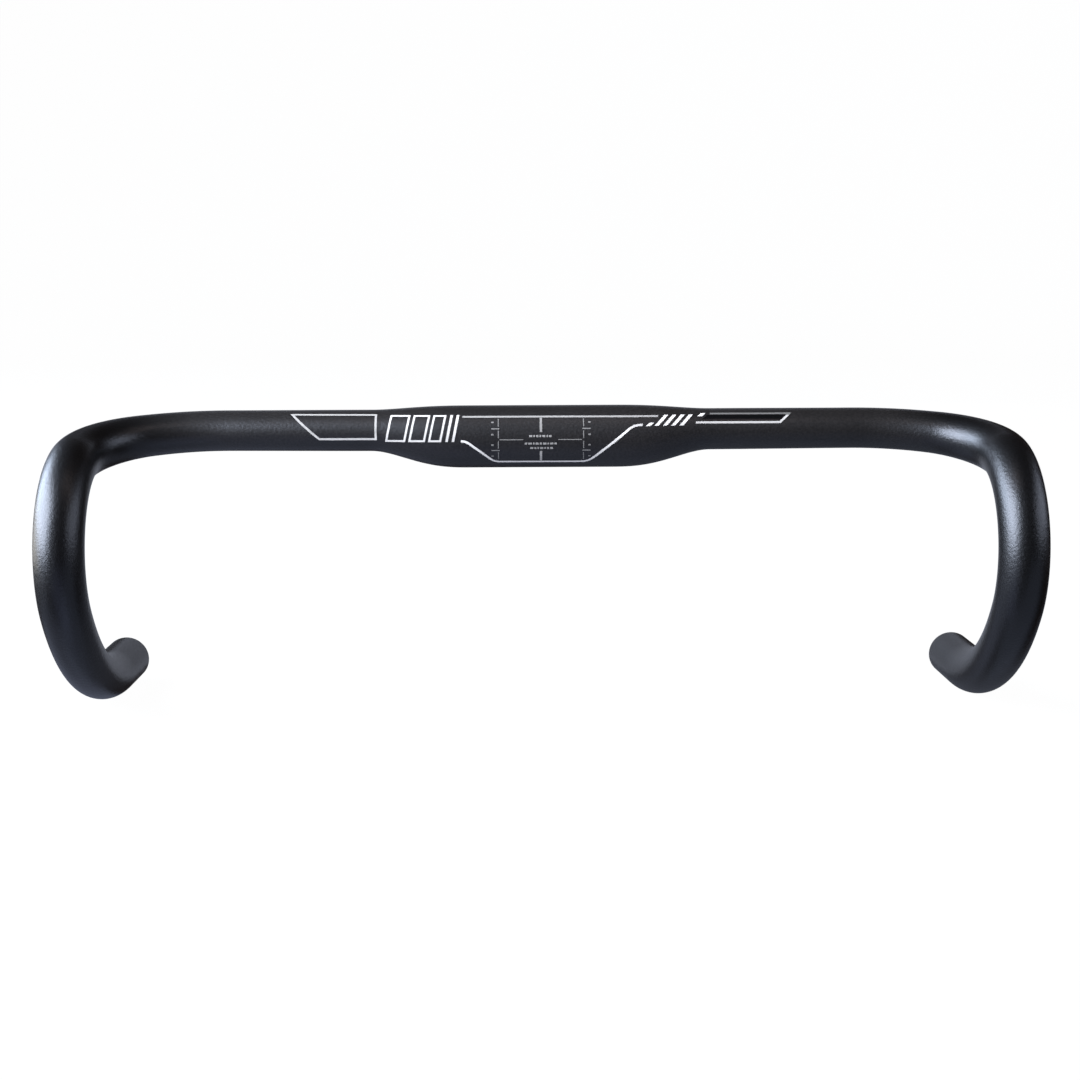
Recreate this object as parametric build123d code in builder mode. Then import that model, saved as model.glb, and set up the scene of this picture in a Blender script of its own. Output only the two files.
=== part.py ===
from build123d import *
import os
from math import sin, cos, asin, radians, sqrt, hypot

# ---------------------------------------------------------------------------
# Drop handlebar, millimetres.
# Origin at the centre of the stem clamp, +X along the clamp axis, -Y forward
# (the way the hooks reach), +Z up.  The grips of the drops lie level.
# ---------------------------------------------------------------------------

# clamp bulge
clamp_r = 31.8 / 2          # oversize stem clamp
clamp_half = 36.0           # half length of the parallel clamp zone
bulge_fade = 1.43           # the bulge falls away late, 1 would be an even S
taper_end = 86.5            # distance from the middle where the bulge has gone
rise = 3.3                  # the tops lie this far above the clamp axis
back_sweep = 2.0            # degrees, the tops run back from the clamp
sweep_start = 41.0          # distance from the middle where they begin to

# grip tube
grip_r = 23.8 / 2           # round tube in the bends and the drops
top_a1 = 10.55              # half height of the pressed oval beside the bulge
top_a2 = 10.38              # half height of the oval beside the corner
top_len = 72.5              # straight oval top

# corner between top and hook
corner_r1 = 100.0           # easy entry bend
corner_a1 = 24.0
corner_r2 = 44.0            # tight bend
ramp_drop = 12.0            # degrees, the lever ramp points down this much

# hook and drop
hook_r1 = 46.0
hook_a1 = 112.5
hook_r2 = 110.0
hook_a2 = 180.0 - ramp_drop - hook_a1
grip_len = 31.0             # straight end of the drop

# wall of the butted tube
wall_mid = 2.4              # in the clamp zone
wall_end = 1.8              # everywhere else
bore_r = grip_r - wall_end

# bar-end plug
plug_flange_r = 11.6
plug_flange_t = 1.6
plug_len = 20.0
plug_gap = 0.05             # radial clearance of the ribs in the bore
plug_rib_r = bore_r - plug_gap
plug_core_r = 9.1
plug_hollow_r = 7.7

# printed film
film_t = 0.10               # ink and lacquer edge
line_w = 1.10               # width of the main printed line
thin_w = 0.45               # width of the fine lines

os.makedirs("parts", exist_ok=True)


# ---------------------------------------------------------------------------
# Centre line and sections
# ---------------------------------------------------------------------------
def smooth(k):
    k = min(1.0, max(0.0, k))
    return 3 * k * k - 2 * k ** 3


def half_depth(a):
    """A round grip tube pressed to half height a keeps about its girth."""
    return sqrt(2 * grip_r ** 2 - a * a)


sweep_rad = radians(back_sweep)
ease_r = (taper_end - sweep_start) / sweep_rad    # radius that turns in the back sweep


def bulge_gone(s):
    """0 in the clamp zone, 1 where the bulge has run out."""
    return smooth(max(0.0, (s - clamp_half) / (taper_end - clamp_half)) ** bulge_fade)


def top_section(s):
    """Centre, direction, half height and half depth at s along the top."""
    if s <= clamp_half:
        return Vector(s, 0, 0), Vector(1, 0, 0), clamp_r, clamp_r
    if s <= taper_end:
        e = bulge_gone(s)
        th = max(0.0, (s - sweep_start) / (taper_end - sweep_start)) * sweep_rad
        x = s if s <= sweep_start else sweep_start + ease_r * sin(th)
        c = Vector(x, ease_r * (1 - cos(th)), rise * e)
        a = clamp_r + (top_a1 - clamp_r) * e
        b = clamp_r + (half_depth(top_a1) - clamp_r) * e
        return c, Vector(cos(th), sin(th), 0), a, b
    u = s - taper_end
    t = Vector(cos(sweep_rad), sin(sweep_rad), 0)
    c = Vector(sweep_start + ease_r * sin(sweep_rad), ease_r * (1 - cos(sweep_rad)), rise) + t * u
    a = top_a1 + (top_a2 - top_a1) * smooth(u / top_len)
    return c, t, a, half_depth(a)


# corner: two tangent arcs in the plane of the top and the ramp
corner_start, top_dir, _, _ = top_section(taper_end + top_len)
ramp_dir = Vector(0, -cos(radians(ramp_drop)), -sin(radians(ramp_drop)))
corner_axis = top_dir.cross(ramp_dir).normalized()
corner_turn = top_dir.get_angle(ramp_dir)
corner_a2 = corner_turn - corner_a1


def turn(v, deg):
    return v.rotate(Axis((0, 0, 0), tuple(corner_axis)), deg)


def corner_point(deg):
    """Centre, direction, half height and half depth at deg round the corner."""
    n0 = corner_axis.cross(top_dir)
    c1 = corner_start + n0 * corner_r1
    if deg <= corner_a1:
        c = c1 + turn(corner_start - c1, deg)
    else:
        p1 = c1 + turn(corner_start - c1, corner_a1)
        n1 = corner_axis.cross(turn(top_dir, corner_a1))
        c2 = p1 + n1 * corner_r2
        c = c2 + turn(p1 - c2, deg - corner_a1)
    a = top_a2 + (grip_r - top_a2) * smooth(deg / corner_turn)
    return c, turn(top_dir, deg), a, half_depth(a)


hook_start, _, _, _ = corner_point(corner_turn)
hook_x = hook_start.X


def hook_point(deg):
    """Centre line of the hook, deg counted from the ramp; the hook is plane."""
    d0 = radians(180 + ramp_drop)

    def arc(p, d, r, a):
        return (p[0] + r * (sin(d + a) - sin(d)), p[1] - r * (cos(d + a) - cos(d)))

    p = (hook_start.Y, hook_start.Z)
    if deg <= hook_a1:
        q = arc(p, d0, hook_r1, radians(deg))
    else:
        p = arc(p, d0, hook_r1, radians(hook_a1))
        q = arc(p, d0 + radians(hook_a1), hook_r2, radians(deg - hook_a1))
    return Vector(hook_x, q[0], q[1])


drop_end = hook_point(hook_a1 + hook_a2) + Vector(0, grip_len, 0)


def section_plane(c, t):
    """Plane across the tube: local x is the depth, local y the height."""
    up = (Vector(0, 0, 1) - t * t.Z).normalized()
    return Plane(origin=c, x_dir=t.cross(up), z_dir=t)


taper_stations = [clamp_half + (taper_end - clamp_half) * i / 14 for i in range(15)]
top_stations = [taper_end + top_len * i / 6 for i in range(1, 7)]
corner_stations = [corner_a1 * i / 4 for i in range(1, 5)] + \
                  [corner_a1 + corner_a2 * i / 9 for i in range(1, 10)]


def stations():
    out = []
    for s in taper_stations + top_stations:
        out.append(top_section(s) + (bulge_gone(s),))
    for d in corner_stations:
        out.append(corner_point(d) + (1.0,))
    return out


# ---------------------------------------------------------------------------
# bar_tube: one butted alloy tube, bulged, pressed oval and bent
# ---------------------------------------------------------------------------
with BuildPart() as bar_solid:
    # outside of the right half, from the middle to the cut end
    with BuildSketch(Plane.YZ):
        Circle(clamp_r)
    extrude(amount=clamp_half)
    for c, t, a, b, k in stations():
        with BuildSketch(section_plane(c, t)):
            Ellipse(b, a)
    loft()
    with BuildLine():
        ThreePointArc(hook_point(0), hook_point(hook_a1 / 2), hook_point(hook_a1))
        ThreePointArc(hook_point(hook_a1), hook_point(hook_a1 + hook_a2 / 2),
                      hook_point(hook_a1 + hook_a2))
        Line(hook_point(hook_a1 + hook_a2), drop_end)
    with BuildSketch(section_plane(hook_start, ramp_dir)):
        Circle(grip_r)
    sweep()

with BuildPart() as bar_tube:
    add(bar_solid.part)
    with BuildSketch(Plane.YZ):
        Circle(clamp_r - wall_mid)
    extrude(amount=clamp_half, mode=Mode.SUBTRACT)
    for c, t, a, b, k in stations():
        w = wall_mid + (wall_end - wall_mid) * k
        with BuildSketch(section_plane(c, t)):
            Ellipse(b - w, a - w)
    loft(mode=Mode.SUBTRACT)
    with BuildLine():
        ThreePointArc(hook_point(0), hook_point(hook_a1 / 2), hook_point(hook_a1))
        ThreePointArc(hook_point(hook_a1), hook_point(hook_a1 + hook_a2 / 2),
                      hook_point(hook_a1 + hook_a2))
        Line(hook_point(hook_a1 + hook_a2), drop_end)
    with BuildSketch(section_plane(hook_start, ramp_dir)):
        Circle(bore_r)
    sweep(mode=Mode.SUBTRACT)
    # break the two edges of the cut end
    rim = bar_tube.faces().sort_by(Axis.Y)[-1]
    chamfer(rim.edges(), length=0.3)
    mirror(about=Plane.YZ)
bar_tube.part.label = "bar_tube"
export_step(bar_tube.part, "parts/bar_tube.step")

# ---------------------------------------------------------------------------
# end plugs: a domed cap on a hollow barrel with four barbed ribs
# ---------------------------------------------------------------------------
plug_profile = [(0, -0.4), (0, plug_flange_t + 0.15), (4.6, plug_flange_t + 0.08),
                (4.9, plug_flange_t - 0.22), (6.3, plug_flange_t - 0.24),
                (6.6, plug_flange_t + 0.02), (9.6, plug_flange_t - 0.18),
                (10.9, plug_flange_t - 0.6), (plug_flange_r, plug_flange_t - 1.25),
                (plug_flange_r, 0), (plug_core_r, 0)]
for i in range(4):
    y = -2.2 - 4.4 * i
    plug_profile += [(plug_core_r, y), (plug_rib_r, y - 0.25), (plug_rib_r, y - 0.9),
                     (plug_core_r, y - 2.3)]
plug_profile += [(plug_core_r, -plug_len + 0.8), (plug_core_r - 0.5, -plug_len),
                 (plug_hollow_r, -plug_len), (plug_hollow_r, -1.6), (plug_hollow_r - 1.2, -0.4)]

with BuildPart() as right_end_plug:
    with BuildSketch(Plane(origin=drop_end, x_dir=(1, 0, 0), z_dir=(0, 0, 1))):
        with BuildLine():
            Polyline(*plug_profile, close=True)
        make_face()
    revolve(axis=Axis(tuple(drop_end), (0, 1, 0)))
right_end_plug.part.label = "right_end_plug"
export_step(right_end_plug.part, "parts/right_end_plug.step")

with BuildPart() as left_end_plug:
    with BuildSketch(Plane(origin=(-drop_end.X, drop_end.Y, drop_end.Z), x_dir=(1, 0, 0), z_dir=(0, 0, 1))):
        with BuildLine():
            Polyline(*plug_profile, close=True)
        make_face()
    revolve(axis=Axis((-drop_end.X, drop_end.Y, drop_end.Z), (0, 1, 0)))
left_end_plug.part.label = "left_end_plug"
export_step(left_end_plug.part, "parts/left_end_plug.step")

# ---------------------------------------------------------------------------
# printed graphics: films wrapped on the front of the tops.  Outlines are given
# as (x, z) seen from the front; widths are measured along the curved surface.
# ---------------------------------------------------------------------------
with BuildPart() as film_skin:
    with BuildSketch(Plane.YZ):
        Circle(clamp_r + film_t)
    extrude(amount=clamp_half)
    for s in taper_stations + top_stations:
        c, t, a, b = top_section(s)
        with BuildSketch(section_plane(c, t)):
            Ellipse(b + film_t, a + film_t)
    loft()
    add(bar_solid.part, mode=Mode.SUBTRACT)
    mirror(about=Plane.YZ)


def wrap(x, z):
    """Front view height to distance round the tube from its middle line."""
    c, t, a, b = top_section(abs(x))
    return a * asin(max(-0.99, min(0.99, (z - c.Z) / a)))


def unwrap(x, g):
    c, t, a, b = top_section(abs(x))
    return (x, c.Z + a * sin(g / a))


def dense(points, closed=False, step=2.5):
    loop = list(points) + ([points[0]] if closed else [])
    out = []
    for (x0, z0), (x1, z1) in zip(loop[:-1], loop[1:]):
        n = max(1, int(hypot(x1 - x0, z1 - z0) / step + 0.99))
        out += [(x0 + (x1 - x0) * i / n, z0 + (z1 - z0) * i / n) for i in range(n)]
    return out if closed else out + [loop[-1]]


def side(points, off, closed=False):
    """Points off to the left of a line, the distance measured on the surface."""
    flat = [(x, wrap(x, z)) for x, z in dense(points, closed)]
    n = len(flat)
    out = []
    for i, p in enumerate(flat):
        q0 = flat[i - 1] if (i > 0 or closed) else None
        q1 = flat[(i + 1) % n] if (i < n - 1 or closed) else None
        dirs = []
        if q0:
            dirs.append((p[0] - q0[0], p[1] - q0[1]))
        if q1:
            dirs.append((q1[0] - p[0], q1[1] - p[1]))
        units = [(dx / hypot(dx, dy), dy / hypot(dx, dy)) for dx, dy in dirs]
        ux = sum(u[0] for u in units)
        uy = sum(u[1] for u in units)
        m = hypot(ux, uy)
        nx, ny = -uy / m, ux / m
        cosh = max(0.35, nx * -units[0][1] + ny * units[0][0])
        out.append(unwrap(p[0] + nx * off / cosh, p[1] + ny * off / cosh))
    return out


def stroke(points, width):
    """Closed outline of an open line of the given width."""
    return side(points, width / 2) + side(points, -width / 2)[::-1]


def slash(x, z0, z1, lean, width):
    """Outline of one slanted solid bar, width measured along x."""
    return dense([(x - width / 2, z0), (x + width / 2, z0),
                  (x + width / 2 + lean, z1), (x - width / 2 + lean, z1)], closed=True)


# --- left panel: a long outlined block with a slanted outer end
left_panel = [(-126.0, 11.95), (-112.1, -0.1), (-83.5, -0.1), (-83.5, 11.8)]
with BuildPart() as print_left_panel_line:
    with BuildSketch(Plane.XZ):
        with BuildLine():
            Polyline(*side(left_panel, -line_w / 2, closed=True), close=True)
        make_face()
        with BuildLine():
            Polyline(*side(left_panel, line_w / 2, closed=True), close=True)
        make_face(mode=Mode.SUBTRACT)
    extrude(amount=20)
    add(film_skin.part, mode=Mode.INTERSECT)
print_left_panel_line.part.label = "print_left_panel_line"
export_step(print_left_panel_line.part, "parts/print_left_panel_line.step")

# --- left bars: plain slanted blocks, outlined, growing narrower
left_blocks = [(-78.2, 9.2), (-66.4, 7.4), (-56.4, 5.6)]        # left foot and width
block_lean = 2.6
with BuildPart() as print_left_bars:
    with BuildSketch(Plane.XZ):
        for x, w in left_blocks:
            block = [(x, -1.0), (x + w, -1.0), (x + w + block_lean, 11.4), (x + block_lean, 11.4)]
            with BuildLine():
                Polyline(*side(block, -0.5, closed=True), close=True)
            make_face()
            with BuildLine():
                Polyline(*side(block, 0.5, closed=True), close=True)
            make_face(mode=Mode.SUBTRACT)
        for x in (-47.6, -44.4):
            with BuildLine():
                Polyline(*slash(x, -1.4, 11.8, block_lean, 1.3), close=True)
            make_face()
    extrude(amount=20)
    add(film_skin.part, mode=Mode.INTERSECT)
print_left_bars.part.label = "print_left_bars"
export_step(print_left_bars.part, "parts/print_left_bars.step")

# --- frame round the stem clamp: long upper line and the lower swept line
with BuildPart() as print_upper_line:
    with BuildSketch(Plane.XZ):
        with BuildLine():
            Polyline(*stroke([(-39.6, 10.95), (59.4, 10.85)], line_w), close=True)
        make_face()
    extrude(amount=20)
    add(film_skin.part, mode=Mode.INTERSECT)
print_upper_line.part.label = "print_upper_line"
export_step(print_upper_line.part, "parts/print_upper_line.step")

lower_path = [(-40.4, -1.05), (-38.6, -1.25), (-37.0, -1.85), (-35.4, -2.95), (-25.8, -10.2),
              (-24.5, -11.1), (-23.0, -11.7), (-21.2, -11.95), (20.4, -12.0), (22.2, -11.85),
              (23.9, -11.4), (25.4, -10.65), (27.0, -9.5), (42.2, 2.7), (43.8, 4.1), (45.4, 5.3),
              (47.0, 6.1), (48.8, 6.55), (51.4, 6.7)]
with BuildPart() as print_lower_line:
    with BuildSketch(Plane.XZ):
        with BuildLine():
            Polyline(*stroke(lower_path, line_w + 0.1), close=True)
        make_face()
    extrude(amount=20)
    add(film_skin.part, mode=Mode.INTERSECT)
print_lower_line.part.label = "print_lower_line"
export_step(print_lower_line.part, "parts/print_lower_line.step")

# --- mark for the middle of the bar, above and below the dashes
with BuildPart() as print_centre_mark:
    with BuildSketch(Plane.XZ):
        for z0, z1 in ((3.4, 10.4), (-11.5, -6.3)):
            with BuildLine():
                Polyline(*stroke([(0, z0), (0, z1)], 1.2), close=True)
            make_face()
    extrude(amount=20)
    add(film_skin.part, mode=Mode.INTERSECT)
print_centre_mark.part.label = "print_centre_mark"
export_step(print_centre_mark.part, "parts/print_centre_mark.step")

# --- level line, left and right of the dashes
with BuildPart() as print_level_line:
    with BuildSketch(Plane.XZ):
        for x0, x1 in ((-20.9, -8.9), (8.7, 20.7)):
            with BuildLine():
                Polyline(*stroke([(x0, -0.4), (x1, -0.4)], thin_w), close=True)
            make_face()
    extrude(amount=20)
    add(film_skin.part, mode=Mode.INTERSECT)
print_level_line.part.label = "print_level_line"
export_step(print_level_line.part, "parts/print_level_line.step")

# --- angle scales: a broken upright line with ticks and dots
scale_uprights = [(6.1, 9.9), (0.3, 4.1), (-4.9, -1.1), (-10.6, -6.9)]
scale_ticks = [5.1, -5.9]
scale_dots = [8.2, 2.2, -3.1, -8.9]


def scale_outlines(sign):
    out = [stroke([(sign * 21.5, z0), (sign * 21.5, z1)], thin_w) for z0, z1 in scale_uprights]
    out += [stroke([(sign * 20.9, z), (sign * 25.0, z)], 0.6) for z in scale_ticks]
    out += [stroke([(sign * 23.9, z), (sign * 25.1, z)], 0.8) for z in scale_dots]
    return out


with BuildPart() as print_left_scale:
    with BuildSketch(Plane.XZ):
        for outline in scale_outlines(-1):
            with BuildLine():
                Polyline(*outline, close=True)
            make_face()
    extrude(amount=20)
    add(film_skin.part, mode=Mode.INTERSECT)
print_left_scale.part.label = "print_left_scale"
export_step(print_left_scale.part, "parts/print_left_scale.step")

with BuildPart() as print_right_scale:
    with BuildSketch(Plane.XZ):
        for outline in scale_outlines(1):
            with BuildLine():
                Polyline(*outline, close=True)
            make_face()
    extrude(amount=20)
    add(film_skin.part, mode=Mode.INTERSECT)
print_right_scale.part.label = "print_right_scale"
export_step(print_right_scale.part, "parts/print_right_scale.step")

# --- three rows of plain dashes in the middle
dash_rows = [(1.4, -6.0, (1.6, 0.8, 1.2, 0.8, 1.6, 0.8, 1.2)),
             (-2.4, -8.2, (1.2, 1.8, 0.8, 1.6, 1.0, 1.8, 0.8, 1.6, 1.2)),
             (-4.7, -5.5, (1.6, 1.0, 0.8, 1.6, 0.8, 1.0, 1.4))]
with BuildPart() as print_centre_dashes:
    with BuildSketch(Plane.XZ):
        for z, x, widths in dash_rows:
            for w in widths:
                with BuildLine():
                    Polyline(*stroke([(x, z), (x + w, z)], 1.0), close=True)
                make_face()
                x += w + 0.55
    extrude(amount=20)
    add(film_skin.part, mode=Mode.INTERSECT)
print_centre_dashes.part.label = "print_centre_dashes"
export_step(print_centre_dashes.part, "parts/print_centre_dashes.step")

# --- right bars: short slanted bars between two small blocks
with BuildPart() as print_right_bars:
    with BuildSketch(Plane.XZ):
        with BuildLine():
            Polyline(*slash(54.1, 6.1, 7.7, 1.9, 2.3), close=True)
        make_face()
        for x in (58.4, 62.6, 66.8, 71.0):
            with BuildLine():
                Polyline(*slash(x, 6.2, 11.4, 5.2, 2.0), close=True)
            make_face()
        with BuildLine():
            Polyline(*slash(80.6, 10.5, 11.9, 1.9, 2.3), close=True)
        make_face()
    extrude(amount=20)
    add(film_skin.part, mode=Mode.INTERSECT)
print_right_bars.part.label = "print_right_bars"
export_step(print_right_bars.part, "parts/print_right_bars.step")

# --- right pointer: two long lines closed by a slanted end, gloss black between
pointer_path = [(86.0, 11.7), (126.6, 11.6), (121.4, 7.45), (78.5, 7.55)]
with BuildPart() as print_pointer_line:
    with BuildSketch(Plane.XZ):
        with BuildLine():
            Polyline(*stroke(pointer_path, line_w), close=True)
        make_face()
    extrude(amount=20)
    add(film_skin.part, mode=Mode.INTERSECT)
print_pointer_line.part.label = "print_pointer_line"
export_step(print_pointer_line.part, "parts/print_pointer_line.step")

with BuildPart() as print_pointer_fill:
    with BuildSketch(Plane.XZ):
        with BuildLine():
            Polyline(*dense([(80.6, 8.35), (120.9, 8.2), (124.0, 10.95), (84.4, 11.05)], closed=True),
                     close=True)
        make_face()
    extrude(amount=20)
    add(film_skin.part, mode=Mode.INTERSECT)
print_pointer_fill.part.label = "print_pointer_fill"
export_step(print_pointer_fill.part, "parts/print_pointer_fill.step")

for piece in (bar_tube, right_end_plug, left_end_plug, print_left_panel_line, print_left_bars,
              print_upper_line, print_lower_line, print_centre_mark, print_level_line,
              print_left_scale, print_right_scale, print_centre_dashes, print_right_bars,
              print_pointer_line, print_pointer_fill):
    print(piece.part.label, round(piece.part.volume, 2), len(piece.part.solids()))
print("drop end", drop_end, "hook x", hook_x)
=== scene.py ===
import math
import bpy
import numpy as np
from mathutils import Matrix, Vector


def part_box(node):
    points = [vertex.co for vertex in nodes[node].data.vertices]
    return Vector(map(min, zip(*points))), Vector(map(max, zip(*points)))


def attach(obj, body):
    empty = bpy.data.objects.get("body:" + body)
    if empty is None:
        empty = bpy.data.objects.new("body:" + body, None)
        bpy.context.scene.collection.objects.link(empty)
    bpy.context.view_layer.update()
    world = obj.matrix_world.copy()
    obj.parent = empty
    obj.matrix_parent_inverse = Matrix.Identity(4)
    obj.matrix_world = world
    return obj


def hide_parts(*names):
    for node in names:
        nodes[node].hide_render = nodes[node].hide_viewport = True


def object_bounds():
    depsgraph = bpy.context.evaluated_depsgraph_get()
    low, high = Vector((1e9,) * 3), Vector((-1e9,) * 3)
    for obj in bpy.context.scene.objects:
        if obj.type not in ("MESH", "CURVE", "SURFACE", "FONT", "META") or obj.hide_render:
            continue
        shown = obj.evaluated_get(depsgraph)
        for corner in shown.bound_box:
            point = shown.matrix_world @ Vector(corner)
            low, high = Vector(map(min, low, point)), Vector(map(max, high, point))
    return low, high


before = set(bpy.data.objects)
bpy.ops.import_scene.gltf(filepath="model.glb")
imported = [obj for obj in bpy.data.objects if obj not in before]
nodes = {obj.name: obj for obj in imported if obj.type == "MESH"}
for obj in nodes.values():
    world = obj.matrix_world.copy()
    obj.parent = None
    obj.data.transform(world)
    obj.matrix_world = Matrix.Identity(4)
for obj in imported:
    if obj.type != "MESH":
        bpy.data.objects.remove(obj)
cad_box = [list(map(float, v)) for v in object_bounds()]
scene = bpy.context.scene

# ---------------------------------------------------------------------------
# The bar's own geometry, in millimetres, as in the CAD
# ---------------------------------------------------------------------------
CLAMP_R, CLAMP_HALF, TAPER_END, RISE, SWEEP = 15.9, 36.0, 86.5, 3.3, math.radians(2.0)
SWEEP_START, BULGE_FADE = 41.0, 1.43
GRIP_R, TOP_A1, TOP_A2, TOP_LEN = 11.9, 10.55, 10.38, 72.5
R1, A1, R2, RAMP = 100.0, math.radians(24.0), 44.0, math.radians(12.0)
H1, HA1, H2, GRIP_LEN = 46.0, math.radians(112.5), 110.0, 31.0
HA2 = math.pi - RAMP - HA1
WALL_MID, WALL_END = 2.4, 1.8
EASE_R = (TAPER_END - SWEEP_START) / SWEEP
UP = np.array([0.0, 0.0, 1.0])


def smooth(k):
    k = min(1.0, max(0.0, k))
    return 3 * k * k - 2 * k ** 3


def depth(a):
    return math.sqrt(2 * GRIP_R ** 2 - a * a)


def unit(v):
    return v / np.linalg.norm(v)


def spin(v, axis, ang):
    return v * math.cos(ang) + np.cross(axis, v) * math.sin(ang) + axis * np.dot(axis, v) * (1 - math.cos(ang))


def top_section(s):
    """centre, tangent, half height, half depth, wall"""
    if s <= CLAMP_HALF:
        return np.array([s, 0, 0.0]), np.array([1.0, 0, 0]), CLAMP_R, CLAMP_R, WALL_MID
    e = smooth(max(0.0, (s - CLAMP_HALF) / (TAPER_END - CLAMP_HALF)) ** BULGE_FADE)
    wall = WALL_MID + (WALL_END - WALL_MID) * e
    if s <= TAPER_END:
        th = max(0.0, (s - SWEEP_START) / (TAPER_END - SWEEP_START)) * SWEEP
        x = s if s <= SWEEP_START else SWEEP_START + EASE_R * math.sin(th)
        c = np.array([x, EASE_R * (1 - math.cos(th)), RISE * e])
        return (c, np.array([math.cos(th), math.sin(th), 0]), CLAMP_R + (TOP_A1 - CLAMP_R) * e,
                CLAMP_R + (depth(TOP_A1) - CLAMP_R) * e, wall)
    u = s - TAPER_END
    t = np.array([math.cos(SWEEP), math.sin(SWEEP), 0])
    c = np.array([SWEEP_START + EASE_R * math.sin(SWEEP), EASE_R * (1 - math.cos(SWEEP)), RISE]) + t * u
    a = TOP_A1 + (TOP_A2 - TOP_A1) * smooth(u / TOP_LEN)
    return c, t, a, depth(a), wall


P0, T0 = top_section(TAPER_END + TOP_LEN)[:2]
RAMP_DIR = np.array([0, -math.cos(RAMP), -math.sin(RAMP)])
AX = unit(np.cross(T0, RAMP_DIR))
TURN = math.acos(float(np.dot(T0, RAMP_DIR)))


def corner_section(ang):
    c1 = P0 + np.cross(AX, T0) * R1
    if ang <= A1:
        c = c1 + spin(P0 - c1, AX, ang)
    else:
        p1 = c1 + spin(P0 - c1, AX, A1)
        c2 = p1 + np.cross(AX, spin(T0, AX, A1)) * R2
        c = c2 + spin(p1 - c2, AX, ang - A1)
    a = TOP_A2 + (GRIP_R - TOP_A2) * smooth(ang / TURN)
    return c, spin(T0, AX, ang), a, depth(a), WALL_END


HS = corner_section(TURN)[0]


def hook_section(ang):
    d0 = math.pi + RAMP

    def arc(p, d, r, a):
        return (p[0] + r * (math.sin(d + a) - math.sin(d)), p[1] - r * (math.cos(d + a) - math.cos(d)))

    p = (HS[1], HS[2])
    if ang <= HA1:
        q = arc(p, d0, H1, ang)
    else:
        q = arc(arc(p, d0, H1, HA1), d0 + HA1, H2, ang - HA1)
    return np.array([HS[0], q[0], q[1]]), np.array([0, math.cos(d0 + ang), math.sin(d0 + ang)])


def half_sections():
    """Rings from the middle to just before the cut end of the right half: centre, side, up, half depth, half height, wall"""
    out = []

    def add(c, t, a, b, w):
        up = unit(UP - t * t[2])
        out.append((c, np.cross(t, up), up, b, a, w))

    for s in np.linspace(0, CLAMP_HALF, 15)[:-1]:
        add(*top_section(s))
    for s in np.linspace(CLAMP_HALF, TAPER_END, 37)[:-1]:
        add(*top_section(s))
    for s in np.linspace(TAPER_END, TAPER_END + TOP_LEN, 31)[:-1]:
        add(*top_section(s))
    for g in list(np.linspace(0, A1, 25)[:-1]) + list(np.linspace(A1, TURN, 41)[:-1]):
        add(*corner_section(g))
    side = np.array([-1.0, 0, 0])
    for g in list(np.linspace(0, HA1, 73)[:-1]) + list(np.linspace(HA1, HA1 + HA2, 61)[:-1]):
        c, t = hook_section(g)
        out.append((c, side, np.cross(side, t), GRIP_R, GRIP_R, WALL_END))
    c, t = hook_section(HA1 + HA2)
    for u in np.linspace(0, GRIP_LEN - 0.3, 14):
        out.append((c + t * u, side, np.cross(side, t), GRIP_R, GRIP_R, WALL_END))
    return out, c + t * GRIP_LEN, t, side


def ring(c, side, up, b, a, n):
    f = np.linspace(0, 2 * math.pi, n, endpoint=False)
    return c + np.outer(np.cos(f) * b, side) + np.outer(np.sin(f) * a, up)


def bar_mesh(n=80):
    half, end, t, side = half_sections()
    up = np.cross(side, t)
    outer = [ring(c, s, u, b, a, n) for c, s, u, b, a, w in half]
    inner = [ring(c, s, u, b - w, a - w, n) for c, s, u, b, a, w in half]
    outer.append(ring(end, side, up, GRIP_R - 0.3, GRIP_R - 0.3, n))
    bore = GRIP_R - WALL_END
    face_in = ring(end, side, up, bore + 0.3, bore + 0.3, n)
    # one closed band of rings: out along the outside, back through the bore
    right_out = outer
    right_in = [face_in] + inner[::-1]
    flip = np.array([-1.0, 1, 1])
    left_out = [r * flip for r in outer[1:]][::-1]
    left_in = [r * flip for r in inner[1:]] + [face_in * flip]
    rings = left_out + right_out + right_in + left_in
    verts = np.vstack(rings) * 0.001
    m = len(rings)
    i = np.arange(m)[:, None] * n
    i2 = ((np.arange(m) + 1) % m)[:, None] * n
    j = np.arange(n)[None, :]
    j2 = (j + 1) % n
    faces = np.stack([i + j, i2 + j, i2 + j2, i + j2], axis=-1).reshape(-1, 4)
    me = bpy.data.meshes.new("bar_skin")
    me.from_pydata(verts.tolist(), [], faces.tolist())
    me.update()
    ob = bpy.data.objects.new("bar_skin", me)
    scene.collection.objects.link(ob)
    # outward normals: the front of the middle must face -Y
    p = max(me.polygons, key=lambda q: -q.center.y if abs(q.center.x) < 0.005 else -9)
    if p.normal.y > 0:
        me.flip_normals()
    me.polygons.foreach_set("use_smooth", [True] * len(me.polygons))
    me.set_sharp_from_angle(angle=math.radians(32))
    return ob


# ---------------------------------------------------------------------------
# Materials
# ---------------------------------------------------------------------------
def new_material(name):
    m = bpy.data.materials.new(name)
    m.use_nodes = True
    return m, m.node_tree.nodes, m.node_tree.links, m.node_tree.nodes["Principled BSDF"]


def ramp(nodes_, links, source, stops):
    r = nodes_.new("ShaderNodeValToRGB")
    r.color_ramp.interpolation = "EASE"
    e = r.color_ramp.elements
    e[0].position, e[0].color = stops[0]
    e[1].position, e[1].color = stops[-1]
    for pos, col in stops[1:-1]:
        x = e.new(pos)
        x.color = col
    links.new(source, r.inputs["Fac"])
    return r


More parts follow.
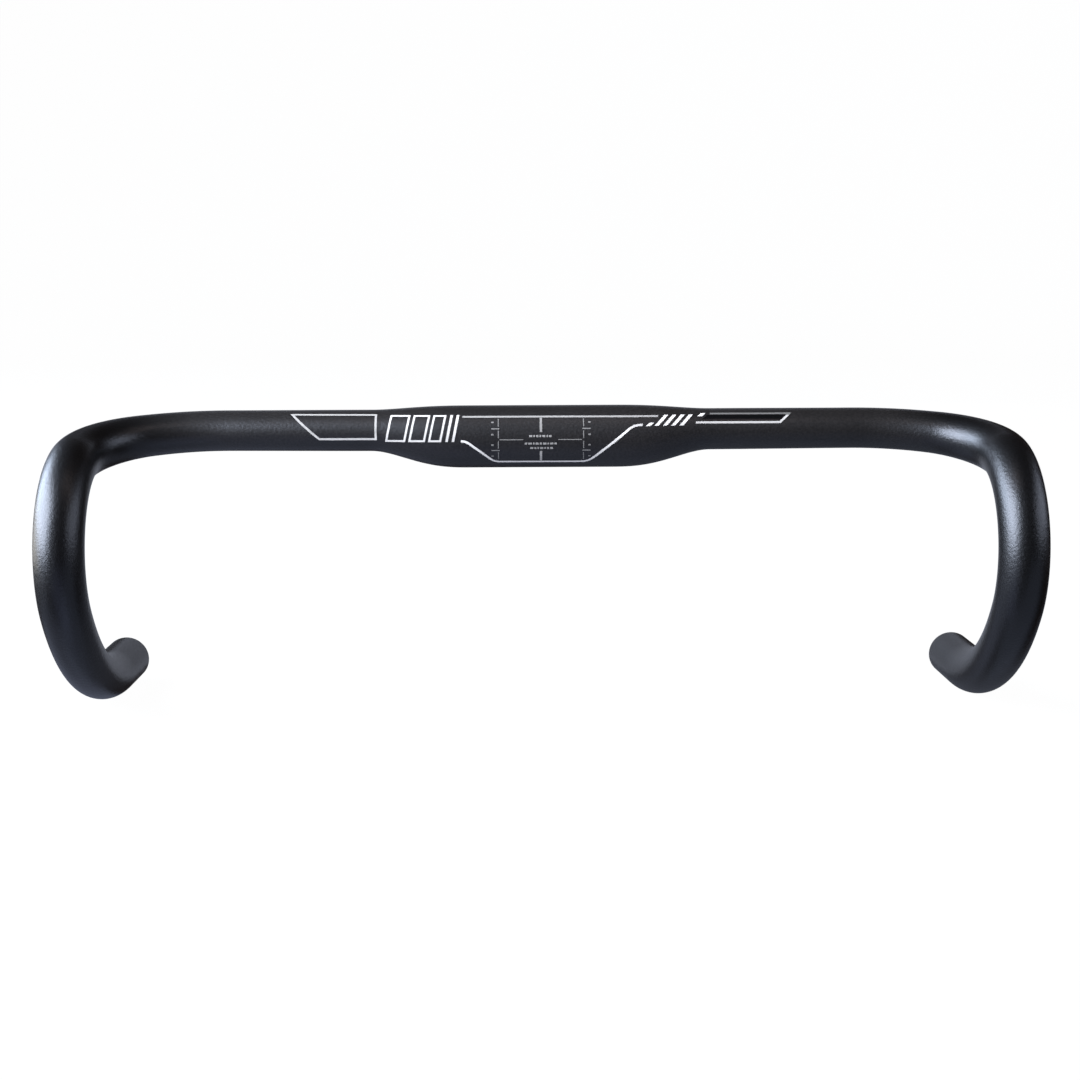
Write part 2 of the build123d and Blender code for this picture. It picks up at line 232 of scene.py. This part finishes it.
def noise(nodes_, links, coord, scale, detail=3.0, rough=0.5):
    t = nodes_.new("ShaderNodeTexNoise")
    t.inputs["Scale"].default_value = scale
    t.inputs["Detail"].default_value = detail
    t.inputs["Roughness"].default_value = rough
    links.new(coord.outputs["Object"], t.inputs["Vector"])
    return t


def grey(v, tint=(1, 1, 1)):
    return (v * tint[0], v * tint[1], v * tint[2], 1)


# the tops' lighter base colour: partly their own matt finish, partly painted sheen towards the bends
TOPS_TONE_AND_SHEEN, TOPS_TINT, TOPS_ROUGH = 0.0096, (1.16, 1.0, 0.87), 0.433
HOOK_BASE, HOOK_ROUGH = 0.0014, 0.38


def bar_black():
    m, nd, lk, bs = new_material("satin_black_alloy")
    tc = nd.new("ShaderNodeTexCoord")
    # where along the bar: 0 on the smooth matt tops, 1 on the shot-peened bends, hooks and drops. The lighter tops
    # colour is carried out to 0.17-0.21 m, partly the matt finish and partly painted sheen on the ends of the tops
    xyz = nd.new("ShaderNodeSeparateXYZ")
    lk.new(tc.outputs["Object"], xyz.inputs[0])
    out = nd.new("ShaderNodeMath")
    out.operation = "ABSOLUTE"
    lk.new(xyz.outputs["X"], out.inputs[0])
    where = nd.new("ShaderNodeMapRange")
    where.interpolation_type = "SMOOTHSTEP"
    where.inputs["From Min"].default_value = 0.170
    where.inputs["From Max"].default_value = 0.212
    lk.new(out.outputs[0], where.inputs["Value"])

    def along(kind, tops, hooks):
        mx = nd.new("ShaderNodeMix")
        mx.data_type = kind
        ports = [s for s in mx.inputs if s.enabled]
        lk.new(where.outputs["Result"], ports[0])
        lk.new(tops.outputs["Color"], ports[1])
        lk.new(hooks.outputs["Color"], ports[2])
        return [s for s in mx.outputs if s.enabled][0]

    cloud = noise(nd, lk, tc, 28.0, 3.0)
    grain = noise(nd, lk, tc, 1300.0, 2.0, 0.6)
    # the matt tops are finely mottled too, in their colour
    mottle = ramp(nd, lk, noise(nd, lk, tc, 1000.0, 2.0, 0.6).outputs["Fac"], [(0.36, grey(0.56)), (0.64, grey(1.0))])
    tops = nd.new("ShaderNodeMixRGB")
    tops.blend_type = "MULTIPLY"
    tops.inputs["Fac"].default_value = 1.0
    lk.new(ramp(nd, lk, cloud.outputs["Fac"], [(0.3, grey(TOPS_TONE_AND_SHEEN * 1.12, TOPS_TINT)), (0.7, grey(TOPS_TONE_AND_SHEEN * 1.38, TOPS_TINT))]).outputs["Color"], tops.inputs["Color1"])
    lk.new(mottle.outputs["Color"], tops.inputs["Color2"])
    col = along("RGBA", tops,
                ramp(nd, lk, cloud.outputs["Fac"], [(0.3, grey(HOOK_BASE * 0.85)), (0.7, grey(HOOK_BASE * 1.15))]))
    lk.new(col, bs.inputs["Base Color"])
    rg = along("FLOAT", ramp(nd, lk, grain.outputs["Fac"], [(0.3, grey(TOPS_ROUGH - 0.02)), (0.7, grey(TOPS_ROUGH + 0.02))]),
               ramp(nd, lk, grain.outputs["Fac"], [(0.3, grey(HOOK_ROUGH - 0.03)), (0.7, grey(HOOK_ROUGH + 0.03))]))
    lk.new(rg, bs.inputs["Roughness"])
    bs.inputs["Specular IOR Level"].default_value = 0.5
    # the peened surface under the anodising: small dimples packed close, and a coarser swell that breaks up the highlights
    fine = noise(nd, lk, tc, 2000.0, 1.0)
    b1 = nd.new("ShaderNodeBump")
    b1.inputs["Strength"].default_value = 1.0
    b1.inputs["Distance"].default_value = 0.00004
    lk.new(fine.outputs["Fac"], b1.inputs["Height"])
    mid = noise(nd, lk, tc, 700.0, 1.0)
    b2 = nd.new("ShaderNodeBump")
    b2.inputs["Strength"].default_value = 1.0
    b2.inputs["Distance"].default_value = 0.00011
    lk.new(mid.outputs["Fac"], b2.inputs["Height"])
    lk.new(b1.outputs["Normal"], b2.inputs["Normal"])
    lk.new(b2.outputs["Normal"], bs.inputs["Normal"])
    return m


def ink(name, value, tint, rough, node=None, shade_by_height=None):
    """An ink film. The last argument gives brightness at fractions of the node's own height: painted shade, darker
    where the tube turns away from the softboxes
    """
    m, nd, lk, bs = new_material(name)
    tc = nd.new("ShaderNodeTexCoord")
    n = noise(nd, lk, tc, 900.0, 2.0)
    if shade_by_height is None:
        col = ramp(nd, lk, n.outputs["Fac"], [(0.3, grey(value * 0.94, tint)), (0.7, grey(value * 1.06, tint))])
        lk.new(col.outputs["Color"], bs.inputs["Base Color"])
    else:
        lo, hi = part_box(node)
        xyz = nd.new("ShaderNodeSeparateXYZ")
        lk.new(tc.outputs["Object"], xyz.inputs[0])
        up = nd.new("ShaderNodeMapRange")
        up.inputs["From Min"].default_value = lo[2]
        up.inputs["From Max"].default_value = hi[2]
        lk.new(xyz.outputs["Z"], up.inputs["Value"])
        # painted shade: the ink's brightness steps with height on the tube
        body = ramp(nd, lk, up.outputs["Result"], [(k, grey(v, tint)) for k, v in shade_by_height])
        film = ramp(nd, lk, n.outputs["Fac"], [(0.3, grey(0.90)), (0.7, grey(1.0))])
        mix = nd.new("ShaderNodeMix")
        mix.data_type = "RGBA"
        mix.blend_type = "MULTIPLY"
        ports = [q for q in mix.inputs if q.enabled]
        ports[0].default_value = 1.0
        lk.new(body.outputs["Color"], ports[1])
        lk.new(film.outputs["Color"], ports[2])
        lk.new([q for q in mix.outputs if q.enabled][0], bs.inputs["Base Color"])
    bs.inputs["Roughness"].default_value = rough
    b = nd.new("ShaderNodeBump")
    b.inputs["Strength"].default_value = 0.15
    b.inputs["Distance"].default_value = 0.00003
    lk.new(n.outputs["Fac"], b.inputs["Height"])
    lk.new(b.outputs["Normal"], bs.inputs["Normal"])
    return m


def plug_black():
    m, nd, lk, bs = new_material("moulded_black_plug")
    tc = nd.new("ShaderNodeTexCoord")
    n = noise(nd, lk, tc, 1400.0, 3.0, 0.6)
    col = ramp(nd, lk, n.outputs["Fac"], [(0.3, grey(0.011)), (0.7, grey(0.017))])
    lk.new(col.outputs["Color"], bs.inputs["Base Color"])
    rg = ramp(nd, lk, n.outputs["Fac"], [(0.3, grey(0.48)), (0.7, grey(0.62))])
    lk.new(rg.outputs["Color"], bs.inputs["Roughness"])
    b = nd.new("ShaderNodeBump")
    b.inputs["Strength"].default_value = 0.4
    b.inputs["Distance"].default_value = 0.00005
    lk.new(n.outputs["Fac"], b.inputs["Height"])
    lk.new(b.outputs["Normal"], bs.inputs["Normal"])
    return m


mat_bar = bar_black()
mat_plug = plug_black()
INK_TINT = (1.08, 1.0, 0.87)          # a warm white, which the cool softboxes bring back to neutral
mat_white = ink("white_ink", 0.70, INK_TINT, 0.40)
mat_block = ink("block_ink", 0.60, INK_TINT, 0.40)
# lower line, panel, pointer and centre mark: painted shade, ink brightness ramped by height, mostly darker towards the
# top of the tube
mat_lower = ink("lower_line_ink", 0.80, INK_TINT, 0.40, "print_lower_line", [(0.03, 0.98), (0.25, 0.84), (0.85, 0.78), (0.97, 0.55)])
mat_panel = ink("panel_ink", 0.50, INK_TINT, 0.40, "print_left_panel_line", [(0.0, 0.68), (0.35, 0.41), (1.0, 0.38)])
mat_pointer = ink("pointer_ink", 0.50, INK_TINT, 0.40, "print_pointer_line", [(0.05, 0.48), (0.70, 0.60), (0.83, 0.15)])
# upper line: a darker copy of the white ink, painted shade on the top of the tube
mat_upper = ink("upper_line_ink", 0.32, INK_TINT, 0.40)
mat_silver = ink("silver_ink", 0.31, INK_TINT, 0.40, "print_centre_mark", [(0.3, 0.42), (0.7, 0.27)])
mat_dash = ink("dash_ink", 0.29, INK_TINT, 0.42)
mat_grey = ink("grey_ink", 0.20, INK_TINT, 0.42)
mat_gloss = ink("gloss_black_ink", 0.003, (1, 1, 1.1), 0.22)

# ---------------------------------------------------------------------------
# Pieces
# ---------------------------------------------------------------------------
bar = bar_mesh()
bar.data.materials.append(mat_bar)
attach(bar, "bar")
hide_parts("bar_tube")

INKS = {
    "print_left_panel_line": mat_panel, "print_left_bars": mat_block, "print_upper_line": mat_upper,
    "print_lower_line": mat_lower, "print_centre_mark": mat_silver, "print_level_line": mat_grey,
    "print_left_scale": mat_grey, "print_right_scale": mat_grey, "print_centre_dashes": mat_dash,
    "print_right_bars": mat_white, "print_pointer_line": mat_pointer, "print_pointer_fill": mat_gloss,
    "left_end_plug": mat_plug, "right_end_plug": mat_plug,
}
for name, mat in INKS.items():
    ob = nodes[name]
    ob.data.materials.clear()
    ob.data.materials.append(mat)

# ---------------------------------------------------------------------------
# Stage: pale floor, soft light
# ---------------------------------------------------------------------------
low_z = cad_box[0][2]


def sweep_floor(n=96):
    """A round floor that turns up into a wall far behind the object, all the way round, in one smooth sheet"""
    flat, r, top = 4.3, 1.6, 7.0
    prof = [(1.0, 0.0), (2.6, 0.0), (flat, 0.0)]
    prof += [(flat + r * math.sin(math.radians(a)), r * (1 - math.cos(math.radians(a)))) for a in range(6, 91, 6)]
    prof += [(flat + r, top)]
    verts = [(0.0, 0.0, low_z)]
    for rad, zz in prof:
        verts += [(rad * math.cos(2 * math.pi * k / n), rad * math.sin(2 * math.pi * k / n), low_z + zz) for k in range(n)]
    faces = [(0, 1 + k, 1 + (k + 1) % n) for k in range(n)]
    for j in range(len(prof) - 1):
        o = 1 + j * n
        faces += [(o + k, o + n + k, o + n + (k + 1) % n, o + (k + 1) % n) for k in range(n)]
    me = bpy.data.meshes.new("floor")
    me.from_pydata(verts, [], faces)
    me.polygons.foreach_set("use_smooth", [True] * len(me.polygons))
    ob = bpy.data.objects.new("floor", me)
    scene.collection.objects.link(ob)
    return ob


floor = sweep_floor()
m, nd, lk, bs = new_material("pale_floor")
bs.inputs["Base Color"].default_value = (0.02, 0.02, 0.02, 1)
bs.inputs["Roughness"].default_value = 1.0
bs.inputs["Specular IOR Level"].default_value = 0.0
bs.inputs["Emission Color"].default_value = (1, 1, 1, 1)
bs.inputs["Emission Strength"].default_value = 0.985
floor.data.materials.append(m)
floor.visible_glossy = False
floor.visible_diffuse = False

world = bpy.data.worlds.new("studio")
scene.world = world
world.use_nodes = True
bg = world.node_tree.nodes["Background"]
bg.inputs["Color"].default_value = (0.0240, 0.0130, 0.0075, 1)
bg.inputs["Strength"].default_value = 1.0

# Softboxes: direction seen from the bar (azimuth 0 is in front, minus is left), distance, width, height, radiance
AIM = Vector((0.0, -0.020, -0.050))
SOFTBOXES = [
    ("softbox_near_left", -83.7, 2.9, 0.319, 0.100, 0.060, (3.17, 3.05, 2.79)),
    ("softbox_left", -67.1, 24.9, 2.255, 1.915, 1.869, (16, 17.9, 22)),
    ("softbox_back_left", -109.8, 23.6, 3.828, 2.184, 2.017, (11.3, 13.2, 16.5)),
    ("softbox_right", 80.3, 20.7, 2.740, 2.822, 1.415, (2.09, 2.3, 2.87)),
    ("glow_back", 178.4, 4.8, 2.286, 1.670, 1.960, (0.478, 0.521, 0.625)),
    ("glow_floor", 47.5, -59.2, 1.197, 1.437, 3.144, (0.268, 0.321, 0.449)),
    ("glow_low_left", -111.5, -43.8, 0.657, 1.093, 0.566, (0.288, 0.335, 0.474)),
    ("softbox_over", -0.8, 69.5, 0.365, 0.400, 0.064, (1.44, 1.23, 1.23)),
    ("glow_under", -28.7, -39.0, 0.459, 0.320, 0.545, (0.294, 0.345, 0.55)),
    ("glow_low_right", 145.1, -38.1, 0.654, 0.625, 0.762, (0.161, 0.188, 0.25)),
]
for name, az, el, dist, wide, high, rad in SOFTBOXES:
    a, e = math.radians(az), math.radians(el)
    d = Vector((math.sin(a) * math.cos(e), -math.cos(a) * math.cos(e), math.sin(e)))
    ux = Vector((0, 0, 1)).cross(d).normalized()
    uy = d.cross(ux)
    ld = bpy.data.lights.new(name, "AREA")
    ld.shape = "RECTANGLE"
    ld.size, ld.size_y = wide, high
    top = max(rad)
    ld.energy = top * math.pi * wide * high
    ld.color = [c / top for c in rad]
    lo = bpy.data.objects.new(name, ld)
    scene.collection.objects.link(lo)
    pos = AIM + d * dist
    lo.matrix_world = Matrix(((ux[0], uy[0], d[0], pos[0]), (ux[1], uy[1], d[1], pos[1]), (ux[2], uy[2], d[2], pos[2]), (0, 0, 0, 1)))
    lo.visible_camera = False

# ---------------------------------------------------------------------------
# Camera
# ---------------------------------------------------------------------------
cam_data = bpy.data.cameras.new("camera")
cam_data.sensor_width = 36.0
cam_data.lens = 1702.86354 / 1080.0 * 36.0
cam_data.clip_start = 0.01
cam = bpy.data.objects.new("camera", cam_data)
scene.collection.objects.link(cam)
pitch, yaw, roll = -0.1471, -0.01318, -0.00372
F = np.array([0.0, 1.0, 0.0])
R = np.array([1.0, 0.0, 0.0])
U = np.array([0.0, 0.0, 1.0])
F, U = spin(F, R, pitch), spin(U, R, pitch)
zax = np.array([0.0, 0.0, 1.0])
F, R = spin(F, zax, yaw), spin(R, zax, yaw)
U = np.cross(R, F)
R2 = R * math.cos(roll) + U * math.sin(roll)
U2 = -R * math.sin(roll) + U * math.cos(roll)
mat = Matrix(((R2[0], U2[0], -F[0], -0.01198646), (R2[1], U2[1], -F[1], -0.87195052),
              (R2[2], U2[2], -F[2], 0.07532506), (0, 0, 0, 1)))
cam.matrix_world = mat
scene.camera = cam

scene.view_settings.view_transform = "Standard"
scene.view_settings.look = "None"
